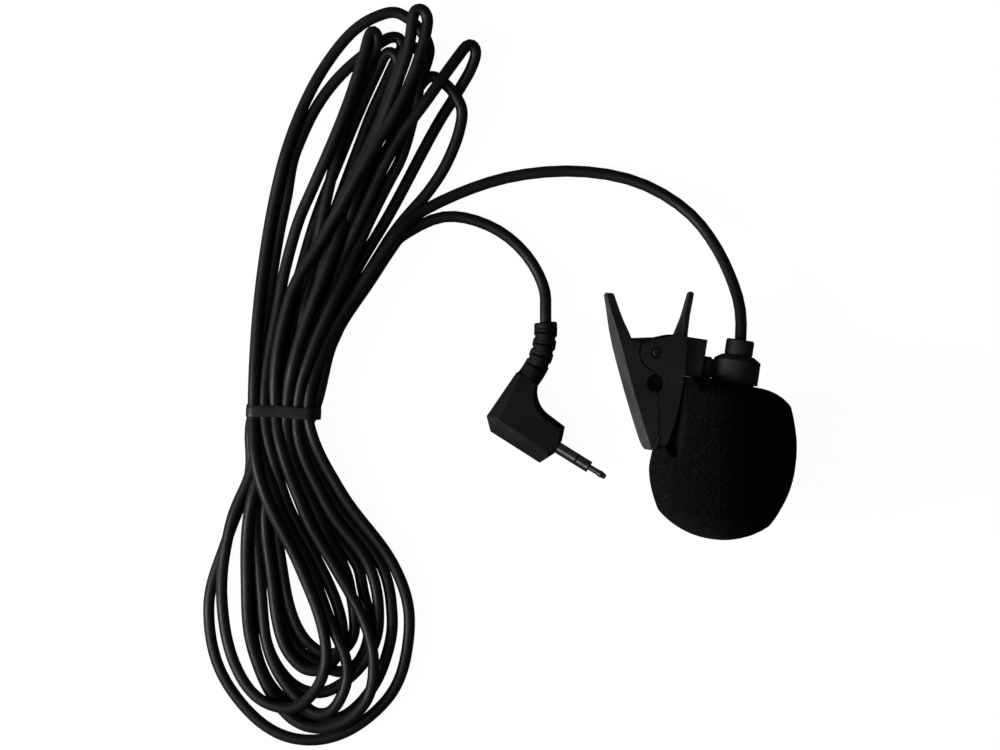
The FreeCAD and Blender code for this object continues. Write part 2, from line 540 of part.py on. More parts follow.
def cable_tie():
    """A flat band bent round the neck of the hank."""
    half_w, wall = HANK_NECK_W / 2, 0.4
    outer = block(-half_w - wall, half_w + wall, -TIE_L / 2, TIE_L / 2, 0, HANK_NECK_H + wall)
    outer = outer.makeFillet(1.2, [e for e in outer.Edges if abs(e.BoundBox.YLength - TIE_L) < 1e-6 and
                                   e.BoundBox.ZMin > 1])
    band = outer.cut(block(-half_w, half_w, -5, 5, -1, HANK_NECK_H))
    band.rotate(V(0, 0, 0), Z, TIE_ANGLE)
    band.translate(TIE_AT)
    return band


def cable():
    relief_end = place_plug(Part.Vertex(RELIEF_END)).Point
    edge = relief_path().Edges[0]
    along = FreeCAD.Rotation(Z, PLUG_ANGLE).multVec(edge.tangentAt(edge.LastParameter))
    plug_lead = PLUG_LEAD + [tuple(relief_end + along * 4.0), tuple(relief_end)]
    return {
        "cable_mic_lead": tube_along(MIC_LEAD, "cable_mic_lead"),
        "cable_plug_lead": tube_along(plug_lead, "cable_plug_lead"),
        "cable_hank": hank_solid(),
        "cable_tie": cable_tie(),
    }


# ---- Everything -------------------------------------------------------------------------------------
def main():
    os.makedirs("parts", exist_ok=True)
    nodes = {name: shape.translated(MIC_AXIS) for name, shape in microphone().items()}
    nodes["windscreen"] = windscreen().translated(MIC_AXIS)
    clip = {"clip_back_jaw": back_jaw(), "clip_front_jaw": front_jaw(), "clip_pivot_pin": pivot_pin(),
            "clip_spring": clip_spring()}
    nodes.update({name: tilt(shape).translated(MIC_AXIS) for name, shape in clip.items()})
    nodes.update({name: place_plug(shape) for name, shape in plug().items()})
    nodes.update(cable())
    for name, shape in nodes.items():
        shape.exportStep(f"parts/{name}.step")
        print(name, shape.ShapeType, len(shape.Solids), shape.isValid(), round(shape.Volume, 2))


main()
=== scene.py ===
import json
import math

import bmesh
import bpy
import numpy as np
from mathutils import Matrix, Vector, noise

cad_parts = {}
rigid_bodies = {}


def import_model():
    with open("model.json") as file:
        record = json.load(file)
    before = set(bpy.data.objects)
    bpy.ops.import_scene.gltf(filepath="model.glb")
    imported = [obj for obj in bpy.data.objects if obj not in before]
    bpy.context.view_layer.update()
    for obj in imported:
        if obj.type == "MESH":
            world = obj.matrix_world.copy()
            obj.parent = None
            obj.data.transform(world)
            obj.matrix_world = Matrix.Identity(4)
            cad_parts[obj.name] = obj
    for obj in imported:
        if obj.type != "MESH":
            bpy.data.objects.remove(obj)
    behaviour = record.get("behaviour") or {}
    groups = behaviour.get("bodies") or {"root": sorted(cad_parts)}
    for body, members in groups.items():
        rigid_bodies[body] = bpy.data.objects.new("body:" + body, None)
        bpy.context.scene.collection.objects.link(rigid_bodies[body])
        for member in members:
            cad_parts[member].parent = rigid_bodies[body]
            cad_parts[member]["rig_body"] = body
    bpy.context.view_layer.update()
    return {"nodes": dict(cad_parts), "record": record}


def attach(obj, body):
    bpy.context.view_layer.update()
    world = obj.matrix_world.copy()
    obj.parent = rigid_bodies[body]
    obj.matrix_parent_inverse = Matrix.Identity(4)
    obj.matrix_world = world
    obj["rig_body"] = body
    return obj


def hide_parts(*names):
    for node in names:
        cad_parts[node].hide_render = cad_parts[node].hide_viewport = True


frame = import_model()
nodes = frame["nodes"]

MM = 0.001

# ---- Where things are, in millimetres in the model's frame ----------------------------------------
VIEW_CENTRE = Vector((-41.16, 2.2, 0))      # the camera looks straight down at this point
VIEW_TURN = math.radians(8.51)              # the view's right is turned this much from +X
VIEW_HEIGHT, LENS = 1000.0, 170.1
VIEW_RIGHT = Vector((math.cos(VIEW_TURN), math.sin(VIEW_TURN), 0))
VIEW_UP = Vector((-math.sin(VIEW_TURN), math.cos(VIEW_TURN), 0))

MIC_AXIS = Vector((7.36, -9.5, 15.0))
CLIP_TILT = math.radians(14.0)
PLUG_AT, PLUG_ANGLE = Vector((-26.9, -11.1, 3.5)), math.radians(-23.3)

# ---- The cable: chosen points from the cap to the hank, and from the hank to the plug ---------------
CORD_D = 2.45
CORD_R = CORD_D / 2
MIC_LEAD = [(7.36, 16.9, 15.0), (7.0, 22.2, 14.5), (4.1, 29.0, 11.0), (-0.5, 36.3, 6.2), (-7.2, 42.8, 2.6),
            (-18.4, 47.4, 1.25), (-31.6, 47.6, 1.25), (-44.6, 44.5, 1.25), (-54.6, 39.6, 1.25), (-63.4, 33.6, 2.4)]
PLUG_LEAD = [(-65.4, 29.6, 1.9), (-59.2, 33.6, 1.25), (-52.4, 34.2, 1.25), (-44.8, 32.2, 1.25), (-38.4, 27.6, 1.25),
             (-34.3, 21.6, 2.2), (-33.72, 17.40, 3.5), (-33.09, 13.45, 3.5)]

# The hank is wound round and round through its tie. Each turn above and below the tie is a few chosen
# points in the order in which the cable passes them, each with its layer in the pile.
TIE_AT, TIE_ANGLE, TIE_L = Vector((-85.2, -12.3, 0)), math.radians(5.8), 2.5
LEAD_IN = [(-70.3, 21.7, 3), (-74.3, 13.2, 3), (-78.4, 3.7, 2.5)]
LEAD_OUT = [(-77.0, 4.5, 0), (-71.3, 17.5, 0)]
UPPER_TURNS = [
    [(-66.0, 65.5, 0), (-69.6, 72.8, 1), (-76.1, 74.4, 1), (-84.7, 66.5, 0), (-91.7, 47.5, 0), (-94.0, 20.7, 1)],
    [(-76.5, 51.5, 0), (-72.7, 64.5, 1), (-72.5, 69.4, 1), (-76.8, 67.7, 1), (-86.0, 56.5, 0), (-91.1, 42.0, 0),
     (-91.3, 33.4, 0), (-91.8, 24.8, 0), (-91.8, 10.6, 1)],
    [(-70.2, 67.2, 3), (-70.5, 73.4, 4), (-69.3, 76.1, 4), (-67.1, 73.0, 5), (-69.7, 57.4, 4), (-75.7, 42.3, 4),
     (-82.5, 24.6, 4), (-87.4, 11.5, 3)],
    [(-83.3, 25.6, 2), (-81.7, 46.3, 2), (-79.3, 60.5, 2), (-77.1, 67.2, 2.5), (-78.4, 70.2, 3.5),
     (-79.0, 66.9, 4.5), (-81.9, 50.9, 4), (-86.4, 34.0, 3), (-87.8, 29.0, 2.5), (-88.8, 22.4, 2.5),
     (-89.5, 13.3, 3)],
    [(-76.5, 13.6, 1), (-73.6, 21.9, 1), (-69.2, 32.6, 1), (-62.1, 52.6, 1), (-58.5, 60.8, 1), (-56.1, 68.0, 2),
     (-57.8, 70.5, 3), (-59.7, 67.5, 4), (-64.6, 57.8, 4), (-70.2, 46.7, 4), (-74.9, 30.9, 4), (-78.8, 14.3, 3)],
    [(-70.3, 50.1, 2), (-66.7, 60.5, 2), (-64.3, 62.5, 2), (-58.8, 58.9, 2), (-57.1, 54.6, 2), (-58.4, 46.3, 1),
     (-60.9, 40.0, 1), (-66.9, 28.9, 0.5), (-74.4, 13.2, 0)],
    [(-85.3, 23.7, 1), (-81.4, 42.8, 1), (-75.9, 63.3, 1), (-74.2, 66.4, 1), (-72.1, 63.5, 1), (-73.4, 49.6, 1),
     (-78.1, 30.8, 1)],
    [(-80.3, 28.3, 1), (-74.4, 50.6, 1), (-71.5, 64.1, 2), (-70.1, 68.0, 2), (-67.3, 65.5, 2), (-68.1, 46.2, 3),
     (-71.0, 37.2, 3), (-75.8, 21.1, 3)],
]
LOWER_TURNS = [
    [(-71.0, -26.8, 1), (-56.8, -41.7, 1), (-52.1, -54.3, 0), (-55.3, -70.3, 0), (-70.8, -80.3, 0),
     (-86.9, -72.7, 0), (-94.7, -56.4, 0), (-92.9, -39.7, 0), (-90.1, -26.4, 1)],
    [(-87.4, -27.8, 5), (-76.7, -44.1, 5), (-69.2, -58.5, 5), (-69.2, -68.1, 5), (-75.2, -73.9, 4),
     (-84.8, -70.0, 3), (-92.0, -54.1, 2), (-92.6, -36.4, 1), (-89.7, -25.3, 2)],
    [(-83.8, -30.8, 3), (-74.9, -43.6, 3), (-71.8, -49.0, 3), (-68.6, -55.0, 3), (-63.8, -63.1, 3),
     (-64.4, -70.6, 3), (-67.9, -74.1, 3), (-73.9, -71.2, 2), (-80.4, -63.4, 2), (-83.8, -52.2, 2),
     (-87.8, -31.4, 1)],
    [(-77.4, -33.0, 4), (-69.9, -42.6, 4), (-61.3, -54.1, 4), (-58.3, -62.9, 4), (-59.2, -70.9, 4),
     (-66.0, -76.8, 3), (-74.7, -75.6, 2), (-83.8, -63.5, 2), (-87.3, -50.4, 2), (-89.0, -31.6, 1)],
    [(-82.3, -30.3, 2), (-78.0, -36.2, 2), (-69.6, -47.9, 2), (-66.0, -55.8, 2), (-66.2, -61.3, 2),
     (-69.1, -64.9, 2), (-73.8, -64.8, 2), (-78.4, -59.9, 2), (-82.3, -47.7, 2), (-86.1, -31.2, 1)],
    [(-72.0, -29.1, 3), (-59.9, -41.3, 2), (-56.1, -51.7, 2), (-55.9, -58.7, 1), (-58.4, -68.0, 1),
     (-64.8, -75.1, 1), (-72.4, -74.4, 1), (-81.0, -68.0, 1), (-85.8, -54.6, 1), (-88.0, -35.7, 0)],
    [(-74.7, -31.5, 1), (-65.0, -42.1, 1), (-63.2, -47.0, 1), (-61.1, -52.0, 1), (-60.5, -59.4, 1),
     (-64.2, -64.6, 1), (-69.7, -63.9, 1), (-75.5, -60.9, 1), (-80.7, -51.7, 1), (-85.2, -31.1, 0)],
    [(-74.4, -33.6, 2), (-67.3, -43.3, 1), (-65.9, -47.0, 1), (-64.4, -51.1, 1), (-63.8, -57.7, 1),
     (-66.9, -61.2, 1), (-71.4, -61.0, 1), (-76.4, -55.8, 0), (-80.2, -46.3, 0), (-84.0, -30.9, 0)],
    [(-73.3, -30.3, 2), (-62.5, -41.7, 2), (-58.8, -52.7, 2), (-59.6, -59.9, 2), (-64.5, -67.2, 2),
     (-69.5, -70.1, 1), (-75.7, -68.4, 1), (-81.9, -60.4, 0), (-85.1, -46.0, 0), (-86.9, -31.3, 0)],
]
# Column and layer of each strand under the tie, in the order in which the cable passes it
TIE_SLOTS = [(5, 2), (0, 0), (0, 2), (1, 0), (0, 1), (2, 0), (2, 2), (3, 0), (1, 2),
             (4, 0), (4, 1), (2, 1), (5, 0), (1, 1), (3, 2), (3, 1), (4, 2), (5, 1)]
SLOT_PITCH, LAYER_RISE = 2.27, 2.05
SLOT_STAGGER = 0.55                         # how far the middle layer is set to one side, and the others to the other
HANK_STEP = 1.8                             # spacing of the points that settle
TIE_PULL, END_PULL, HELD = 0.4, 0.6, 0.3    # how firmly tie and leads hold the strands, and what counts as held
FOLD = math.radians(14.0)                   # a bend between points that is drawn with every point

# ---- The table top, in metres ---------------------------------------------------------------------
TABLE_HALF, TABLE_BELOW = 1.5, 0.0001
TABLE_TONE, TABLE_GLOW = 0.10, 0.97

# ---- The strain relief and the foam -----------------------------------------------------------------
RELIEF_ARC = (-12.9, 9.0), (-13.2, 14.8), (-15.4, 20.1)     # its axis in the plug's own plane: start, middle, end
RELIEF_R, RELIEF_TAPER, RELIEF_ROUND = 2.56, 0.12, 0.45
RELIEF_SUNK, RELIEF_PAST = 1.6, 1.2         # how far it runs into the elbow and past the end of its axis
GROOVES, GROOVE_DEPTH, SIDE_DEPTH = 4, 0.62, 0.30
PORE, LUMP = 0.62, 6.0                      # size of the foam's pores, and of its faint unevenness
PORE_DEPTH, LUMP_DEPTH = 0.24, 0.10
PORE_REACH = 0.62                           # how much of its cell a pore opens, as a share of the cell's size
RAIL_MEETS, RAIL_RISE = 17.15, 0.75         # how far back the foam rises to the rail, and how much further by the ring
TIP_RISE, WIDER_CLIP, WIDER_FAR = 1.9, 0.035, 0.02
EDGE_WIDTHS = {"clip_front_jaw": 0.22, "clip_back_jaw": 0.22, "mic_holder": 0.22, "mic_barrel": 0.2,
               "rear_cap": 0.25, "plug_elbow": 0.42}        # rounding of the moulded pieces' edges


# ---- Camera, lights and floor -------------------------------------------------------------------------
def add_camera():
    camera = bpy.data.objects.new("camera", bpy.data.cameras.new("camera"))
    camera.data.lens = LENS
    camera.data.sensor_width = 36.0
    camera.data.clip_start = 0.01
    camera.location = (VIEW_CENTRE + Vector((0, 0, VIEW_HEIGHT))) * MM
    camera.rotation_euler = (0, 0, VIEW_TURN)
    bpy.context.scene.collection.objects.link(camera)
    bpy.context.scene.camera = camera


def add_light(name, right, up, height, size, power):
    """A round area light that looks at the middle of the view, placed in metres along the view's own directions."""
    data = bpy.data.lights.new(name, "AREA")
    data.shape = "DISK"
    data.size = size
    data.energy = power
    light = bpy.data.objects.new(name, data)
    middle = VIEW_CENTRE * MM
    light.location = middle + VIEW_RIGHT * right + VIEW_UP * up + Vector((0, 0, height))
    light.rotation_euler = (middle - light.location).to_track_quat("-Z", "Y").to_euler()
    bpy.context.scene.collection.objects.link(light)
    return light


def add_floor():
    """A white table top that glows a little, so that no shadow on it is darker than a pale grey."""
    mesh = bpy.data.meshes.new("table_top")
    half, tone, glow, below = TABLE_HALF, TABLE_TONE, TABLE_GLOW, TABLE_BELOW
    mesh.from_pydata([(-half, -half, 0), (half, -half, 0), (half, half, 0), (-half, half, 0)], [], [(0, 1, 2, 3)])
    floor = bpy.data.objects.new("table_top", mesh)
    floor.location = (0, 0, -below)
    bpy.context.scene.collection.objects.link(floor)
    material = bpy.data.materials.new("table_white")
    material.use_nodes = True
    shader = material.node_tree.nodes["Principled BSDF"]
    shader.inputs["Base Color"].default_value = (tone, tone, tone, 1)
    shader.inputs["Roughness"].default_value = 0.9
    shader.inputs["Emission Color"].default_value = (1, 1, 1, 1)
    shader.inputs["Emission Strength"].default_value = glow
    mesh.materials.append(material)
    floor.visible_glossy = False
    floor.visible_diffuse = False


def add_stage():
    scene = bpy.context.scene
    scene.view_settings.view_transform = "Standard"
    world = bpy.data.worlds.new("room")
    world.use_nodes = True
    world.node_tree.nodes["Background"].inputs["Color"].default_value = (0.75, 0.75, 0.75, 1)
    world.node_tree.nodes["Background"].inputs["Strength"].default_value = 0.05
    scene.world = world
    add_light("window", -0.56, -0.12, 0.38, 0.30, 1.8)
    add_light("ceiling", -0.40, -0.32, 0.75, 0.80, 0.7)
    add_light("low_window", -0.75, -0.08, 0.10, 0.30, 9.0).visible_glossy = False
    add_floor()


# ---- The cable ------------------------------------------------------------------------------------------
def slot_place(k):
    """The middle of the k-th strand under the tie."""
    column, layer = TIE_SLOTS[k]
    middle = (max(c for c, _ in TIE_SLOTS) + min(c for c, _ in TIE_SLOTS)) / 2
    across = (column - middle) * SLOT_PITCH + (SLOT_STAGGER if layer == 1 else -SLOT_STAGGER)
    return np.array([TIE_AT.x + across * math.cos(TIE_ANGLE), TIE_AT.y + across * math.sin(TIE_ANGLE),
                     CORD_R + LAYER_RISE * layer])


def in_pile(point):
    return np.array([point[0], point[1], CORD_R + LAYER_RISE * point[2]])


def unit_flat(v):
    v = np.array([v[0], v[1], 0.0])
    return v / np.linalg.norm(v)


def hank_knots():
    """The points that the wound cable passes through, from the end of one lead to the start of the other."""
    knots = [np.array(MIC_LEAD[-1])] + [in_pile(p) for p in LEAD_IN]
    for i, lower in enumerate(LOWER_TURNS):
        knots += [slot_place(2 * i)] + [in_pile(p) for p in lower] + [slot_place(2 * i + 1)]
        if i < len(UPPER_TURNS):
            knots += [in_pile(p) for p in UPPER_TURNS[i]]
    return knots + [in_pile(p) for p in LEAD_OUT] + [np.array(PLUG_LEAD[0])]


def evenly(path, step):
    """The same path with points at even steps."""
    lengths = np.linalg.norm(np.diff(path[:, :2], axis=0), axis=1)
    at = np.append(0, np.cumsum(lengths))
    even = np.linspace(0, at[-1], int(at[-1] / step) + 1)
    return np.column_stack([np.interp(even, at, path[:, i]) for i in range(3)])


def wound_path():
    """Smooth curves through the hank's knots, each running past its knot along the line of its neighbours."""
    knots = hank_knots()
    around = [np.array(MIC_LEAD[-2])] + knots + [np.array(PLUG_LEAD[1])]
    ways = [unit_flat(after - before) for before, after in zip(around, around[2:])]
    t = np.linspace(0, 1, 60, endpoint=False)[:, None]
    weights = (2 * t**3 - 3 * t**2 + 1, t**3 - 2 * t**2 + t, -2 * t**3 + 3 * t**2, t**3 - t**2)
    spans = []
    for a, b, way_a, way_b in zip(knots, knots[1:], ways, ways[1:]):
        reach = 1.1 * np.linalg.norm((b - a)[:2])
        spans.append(weights[0] * a + weights[1] * way_a * reach + weights[2] * b + weights[3] * way_b * reach)
    return evenly(np.vstack(spans + [knots[-1][None]]), HANK_STEP)


def settle(drawn, steps=420, apart=2.44, pull=0.22, fall=0.05):
    """Lets the drawn strands push each other apart and sink onto each other, held where the tie holds them."""
    place, count = drawn.copy(), len(drawn)
    hold = np.full(count, pull)
    for k in range(len(TIE_SLOTS)):
        slot = slot_place(k)
        near = np.linalg.norm(drawn[:, :2] - slot[:2], axis=1) < 2.5
        hold[near & (np.abs(drawn[:, 2] - slot[2]) < 0.8)] = TIE_PULL
    hold[:3] = hold[-3:] = END_PULL
    held = hold > HELD
    index = np.arange(count)
    for step in range(steps):
        if step % 5 == 0:
            square = (place**2).sum(1)
            distance = square[:, None] + square[None] - 2 * place @ place.T
            i, j = np.nonzero((distance < (apart * 1.5) ** 2) & (index[:, None] + 4 < index[None]))
        gap = place[j] - place[i]
        length = np.sqrt((gap**2).sum(1)) + 1e-9
        deep = np.clip(apart - length, 0, None)
        push = gap * (deep / 2 / length)[:, None]
        touching = np.bincount(i, deep > 0, count) + np.bincount(j, deep > 0, count)
        for axis in range(3):
            move = np.bincount(j, push[:, axis], count) - np.bincount(i, push[:, axis], count)
            place[:, axis] += 1.2 * move / np.maximum(touching, 1)
        away = place - drawn
        place[:, :2] -= away[:, :2] * hold[:, None]
        place[held, 2] -= away[held, 2] * hold[held]
        place[~held, 2] -= fall * max(0, 1 - 1.6 * step / steps)
        shape = place - drawn * [1, 1, 0]
        for _ in range(2 if step < 0.7 * steps else 1):
            bend = np.zeros_like(shape)
            bend[1:-1] = shape[:-2] - 2 * shape[1:-1] + shape[2:]
            shape += bend * 0.25
        place[~held] = (shape + drawn * [1, 1, 0])[~held]
        place[:, 2] = np.maximum(place[:, 2], CORD_R)
    return place


def thinned(path):
    """Every second point, and every point of a tight fold."""
    ahead = np.diff(path, axis=0)
    ahead /= np.linalg.norm(ahead, axis=1)[:, None]
    straight = np.append(np.append(1, (ahead[:-1] * ahead[1:]).sum(1)), 1)
    keep = (np.arange(len(path)) % 2 == 0) | (straight < math.cos(FOLD))
    return path[keep]


def add_cable(hank):
    points = np.array(MIC_LEAD[:-1] + [tuple(p) for p in thinned(hank)] + PLUG_LEAD[1:]) * MM
    curve = bpy.data.curves.new("cable", "CURVE")
    curve.dimensions = "3D"
    spline = curve.splines.new("NURBS")
    spline.points.add(len(points) - 1)
    # The points' radius and the bevel's depth multiply to the cord's radius. This way the curve's own box fits it.
    for point, place in zip(spline.points, points):
        point.co = (*place, 1)
        point.radius = MM
    spline.order_u = 3
    spline.use_endpoint_u = True
    spline.resolution_u = 3
    curve.bevel_depth = CORD_R
    curve.bevel_resolution = 5
    curve.use_fill_caps = True
    cable = bpy.data.objects.new("cable", curve)
    bpy.context.scene.collection.objects.link(cable)
    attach(cable, "mic")
    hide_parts("cable_mic_lead", "cable_hank", "cable_plug_lead")
    return cable


# ---- Materials --------------------------------------------------------------------------------------------
class Look:
    """A material being made: its node tree, its shader, and patterns in the piece's own coordinates."""

    def __init__(self, name, colour, roughness, metallic=0.0, specular=0.5):
        self.material = bpy.data.materials.new(name)
        self.material.use_nodes = True
        self.tree = self.material.node_tree
        self.shader = self.tree.nodes["Principled BSDF"]
        self.set("Base Color", (*colour, 1))
        self.set("Roughness", roughness)
        self.set("Metallic", metallic)
        self.set("Specular IOR Level", specular)
        self.place = self.tree.nodes.new("ShaderNodeTexCoord").outputs["Object"]
        self.relief = None

    def set(self, socket, value):
        self.shader.inputs[socket].default_value = value

    def node(self, kind, **settings):
        made = self.tree.nodes.new(kind)
        for key, value in settings.items():
            setattr(made, key, value)
        return made

    def stretched(self, stretch, turn=(0, 0, 0)):
        """The piece's coordinates, turned and then stretched."""
        mapping = self.node("ShaderNodeMapping", vector_type="POINT")
        mapping.inputs["Scale"].default_value = stretch
        mapping.inputs["Rotation"].default_value = turn
        self.tree.links.new(self.place, mapping.inputs["Vector"])
        return mapping.outputs["Vector"]

    def noise(self, size, detail=3.0, place=None):
        """Cloudy noise whose patches are about that many millimetres across."""
        made = self.node("ShaderNodeTexNoise")
        made.inputs["Scale"].default_value = 1 / (size * MM)
        made.inputs["Detail"].default_value = detail
        self.tree.links.new(place or self.place, made.inputs["Vector"])
        return made.outputs["Fac"]

    def cells(self, size):
        """Distance to the middle of the nearest of many random cells, that many millimetres apart."""
        made = self.node("ShaderNodeTexVoronoi", feature="F1")
        made.inputs["Scale"].default_value = 1 / (size * MM)
        self.tree.links.new(self.place, made.inputs["Vector"])
        return made.outputs["Distance"]

    def band(self, value, low, high, out_low, out_high):
        """The value's range low to high spread over out_low to out_high."""
        made = self.node("ShaderNodeMapRange")
        for socket, number in zip(("From Min", "From Max", "To Min", "To Max"), (low, high, out_low, out_high)):
            made.inputs[socket].default_value = number
        self.tree.links.new(value, made.inputs["Value"])
        return made.outputs["Result"]

    def colours(self, value, stops):
        """Colours the shader by a value, through (position, colour) stops."""
        ramp = self.node("ShaderNodeValToRGB")
        elements = ramp.color_ramp.elements
        while len(elements) < len(stops):
            elements.new(1.0)
        for element, (position, colour) in zip(elements, stops):
            element.position = position
            element.color = (*colour, 1)
        self.tree.links.new(value, ramp.inputs["Fac"])
        self.tree.links.new(ramp.outputs["Color"], self.shader.inputs["Base Color"])

    def roughness(self, value, low, high):
        self.tree.links.new(self.band(value, 0.3, 0.7, low, high), self.shader.inputs["Roughness"])

    def bump(self, value, height):
        """Adds a relief of that many millimetres."""
        made = self.node("ShaderNodeBump")
        made.inputs["Distance"].default_value = height * MM
        self.tree.links.new(value, made.inputs["Height"])
        if self.relief:
            self.tree.links.new(self.relief, made.inputs["Normal"])
        self.relief = made.outputs["Normal"]
        self.tree.links.new(self.relief, self.shader.inputs["Normal"])


def grey(value, warmth=0.0):
    return (value * (1 + warmth), value, value * (1 - warmth))


def moulded(name, dark, light, rough_low, rough_high, patch=6.0, grain=0.18, height=0.012, specular=0.5):
    """Moulded plastic: faint cloudy colour, a fine spark-eroded grain and uneven gloss."""
    look = Look(name, grey(dark), rough_high, specular=specular)
    look.colours(look.noise(patch, 5), [(0.35, grey(dark)), (0.7, grey(light))])
    look.roughness(look.noise(patch * 0.4, 4), rough_low, rough_high)
    look.bump(look.noise(grain, 2), height)
    look.bump(look.noise(patch * 0.7, 2), 0.03)
    return look.material


def metal(name, colour, rough_low, rough_high, turn=(0, 0, 0), stretch=(1, 14, 14), tarnish=0.55, fine=0.006):
    """Plated or turned metal with fine lines across its axis and faint tarnish."""
    look = Look(name, colour, rough_low, metallic=1.0)
    dull = tuple(c * tarnish for c in colour)
    look.colours(look.noise(1.6, 5), [(0.3, dull), (0.6, colour)])
    lines = look.noise(1.2, 4, look.stretched(stretch, turn))
    look.roughness(lines, rough_low, rough_high)
    look.bump(lines, fine)
    return look.material


def foam_material():
    """Open-cell foam: a matt, nearly black skin with painted shade darkening the pores and a painted highlight paling
    their rims.
    """
    look = Look("foam_black", grey(0.004), 0.95, specular=0.06)
    # Painted shade and highlight: the colour is darkest at the middle of each pore and palest at its rim.
    pore_shade_and_rim_highlight = look.cells(PORE)
    look.colours(pore_shade_and_rim_highlight, [(0.0, grey(0.0014)), (0.42, grey(0.0022)), (0.75, grey(0.0038)), (1.0, grey(0.008))])
    look.bump(look.noise(0.25, 3), 0.10)
    look.set("Sheen Weight", 0.02)
    look.set("Sheen Roughness", 0.6)
    look.set("Sheen Tint", (0.6, 0.6, 0.6, 1))
    return look.material


def cable_material():
    """Soft satin PVC, a little uneven from the extruder, with duller handled patches."""
    look = Look("cable_pvc", grey(0.012), 0.42, specular=0.45)
    look.colours(look.noise(9.0, 4), [(0.3, grey(0.009)), (0.7, grey(0.015))])
    look.roughness(look.noise(5.0, 5), 0.36, 0.50)
    look.bump(look.noise(1.1, 3), 0.02)
    look.bump(look.noise(0.16, 2), 0.004)
    return look.material


def felt_material():
    look = Look("felt_dark", grey(0.02), 1.0, specular=0.1)
    fibres = look.noise(0.3, 6, look.stretched((1, 1, 4)))
    look.colours(fibres, [(0.3, grey(0.008)), (0.7, grey(0.05))])
    look.bump(fibres, 0.15)
    return look.material


def board_material():
    look = Look("board_green", (0.01, 0.10, 0.035), 0.45)
    weave = look.noise(0.25, 2, look.stretched((1, 6, 1)))
    look.colours(weave, [(0.3, (0.008, 0.08, 0.028)), (0.7, (0.014, 0.13, 0.045))])
    look.bump(weave, 0.01)
    return look.material


def plain(name, dark, light, rough, metallic=0.0):
    """A small inner piece: two tones of one colour in fine patches."""
    look = Look(name, dark, rough, metallic=metallic)
    look.colours(look.noise(0.8, 3), [(0.3, dark), (0.7, light)])
    look.roughness(look.noise(0.5, 3), rough * 0.8, min(1.0, rough * 1.2))
    look.bump(look.noise(0.2, 2), 0.004)
    return look.material


def make_materials():
    along_plug = (0, 0, -PLUG_ANGLE)
    return {
        "abs_black": moulded("abs_black", 0.022, 0.032, 0.52, 0.66),
        "clip_black": moulded("clip_black", 0.030, 0.048, 0.42, 0.56, grain=0.22, height=0.016),
        "plug_pvc": moulded("plug_pvc", 0.006, 0.011, 0.50, 0.62, grain=0.30, height=0.010, specular=0.3),
        "rubber_black": moulded("rubber_black", 0.012, 0.02, 0.7, 0.85),
        "tie_black": moulded("tie_black", 0.010, 0.022, 0.36, 0.5, patch=2.0, grain=0.12),
        "insulator_black": moulded("insulator_black", 0.008, 0.014, 0.35, 0.5, patch=1.0, grain=0.1),
        "chip_black": moulded("chip_black", 0.02, 0.03, 0.5, 0.65, patch=1.0, grain=0.1),
        "foam_black": foam_material(),
        "felt_dark": felt_material(),
        "cable_pvc": cable_material(),
        "can_aluminium": metal("can_aluminium", (0.72, 0.73, 0.74), 0.28, 0.42, stretch=(14, 1, 14)),
        "steel": metal("steel", (0.16, 0.16, 0.16), 0.42, 0.58),
        "nickel": metal("nickel", (0.43, 0.42, 0.41), 0.18, 0.28, along_plug, fine=0.0015),
        "copper": metal("copper", (0.75, 0.35, 0.2), 0.3, 0.45),
        "solder": metal("solder", (0.6, 0.6, 0.62), 0.3, 0.5),
        "film": plain("film", (0.55, 0.56, 0.6), (0.7, 0.7, 0.72), 0.25, 0.2),
        "board_green": board_material(),
        "wire_red": plain("wire_red", (0.35, 0.02, 0.02), (0.5, 0.03, 0.03), 0.45),
    }


# ---- Pieces -------------------------------------------------------------------------------------------------
def smooth_shaded(mesh):
    for face in mesh.polygons:
        face.use_smooth = True


def as_mesh(piece):
    """The piece's mesh with its modifiers applied."""
    bpy.context.view_layer.update()
    return bpy.data.meshes.new_from_object(piece.evaluated_get(bpy.context.evaluated_depsgraph_get()))


def welded(node):
    """A fresh mesh of a CAD node with its corners joined and its flat faces whole."""
    work = bmesh.new()
    work.from_mesh(nodes[node].data)
    bmesh.ops.remove_doubles(work, verts=work.verts, dist=0.002 * MM)
    flat = math.radians(0.4)
    bmesh.ops.dissolve_limit(work, angle_limit=flat, verts=work.verts, edges=work.edges)
    mesh = bpy.data.meshes.new(node + "_shape")
    work.to_mesh(mesh)
    work.free()
    for name in [a.name for a in mesh.attributes if a.name == "custom_normal"]:
        mesh.attributes.remove(mesh.attributes[name])
    return mesh


def stand_for(node, mesh, suffix):
    """Puts a finished mesh in place of a CAD node, on the same body and with the same finish."""
    piece = bpy.data.objects.new(node + suffix, mesh)
    bpy.context.scene.collection.objects.link(piece)
    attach(piece, nodes[node]["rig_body"])
    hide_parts(node)
    slot = next(p["material_slot"] for p in frame["record"]["subparts"] if p["node"] == node)
    mesh.materials.clear()
    mesh.materials.append(materials[slot])
    return piece


def soften(node, width, segments=3, angle=28.0):
    """Replaces a CAD node with the same shape whose edges are rounded as moulding leaves them."""
    rough = bpy.data.objects.new("rough", welded(node))
    bpy.context.scene.collection.objects.link(rough)
    bevel = rough.modifiers.new("round_edges", "BEVEL")
    bevel.width = width * MM
    bevel.segments = segments
    bevel.limit_method = "ANGLE"
    bevel.angle_limit = math.radians(angle)
    bevel.harden_normals = True
    smooth_shaded(rough.data)
    mesh = as_mesh(rough)
    bpy.data.objects.remove(rough)
    return stand_for(node, mesh, "_moulded")


def eased(value):
    value = np.clip(value, 0, 1)
    return value * value * (3 - 2 * value)


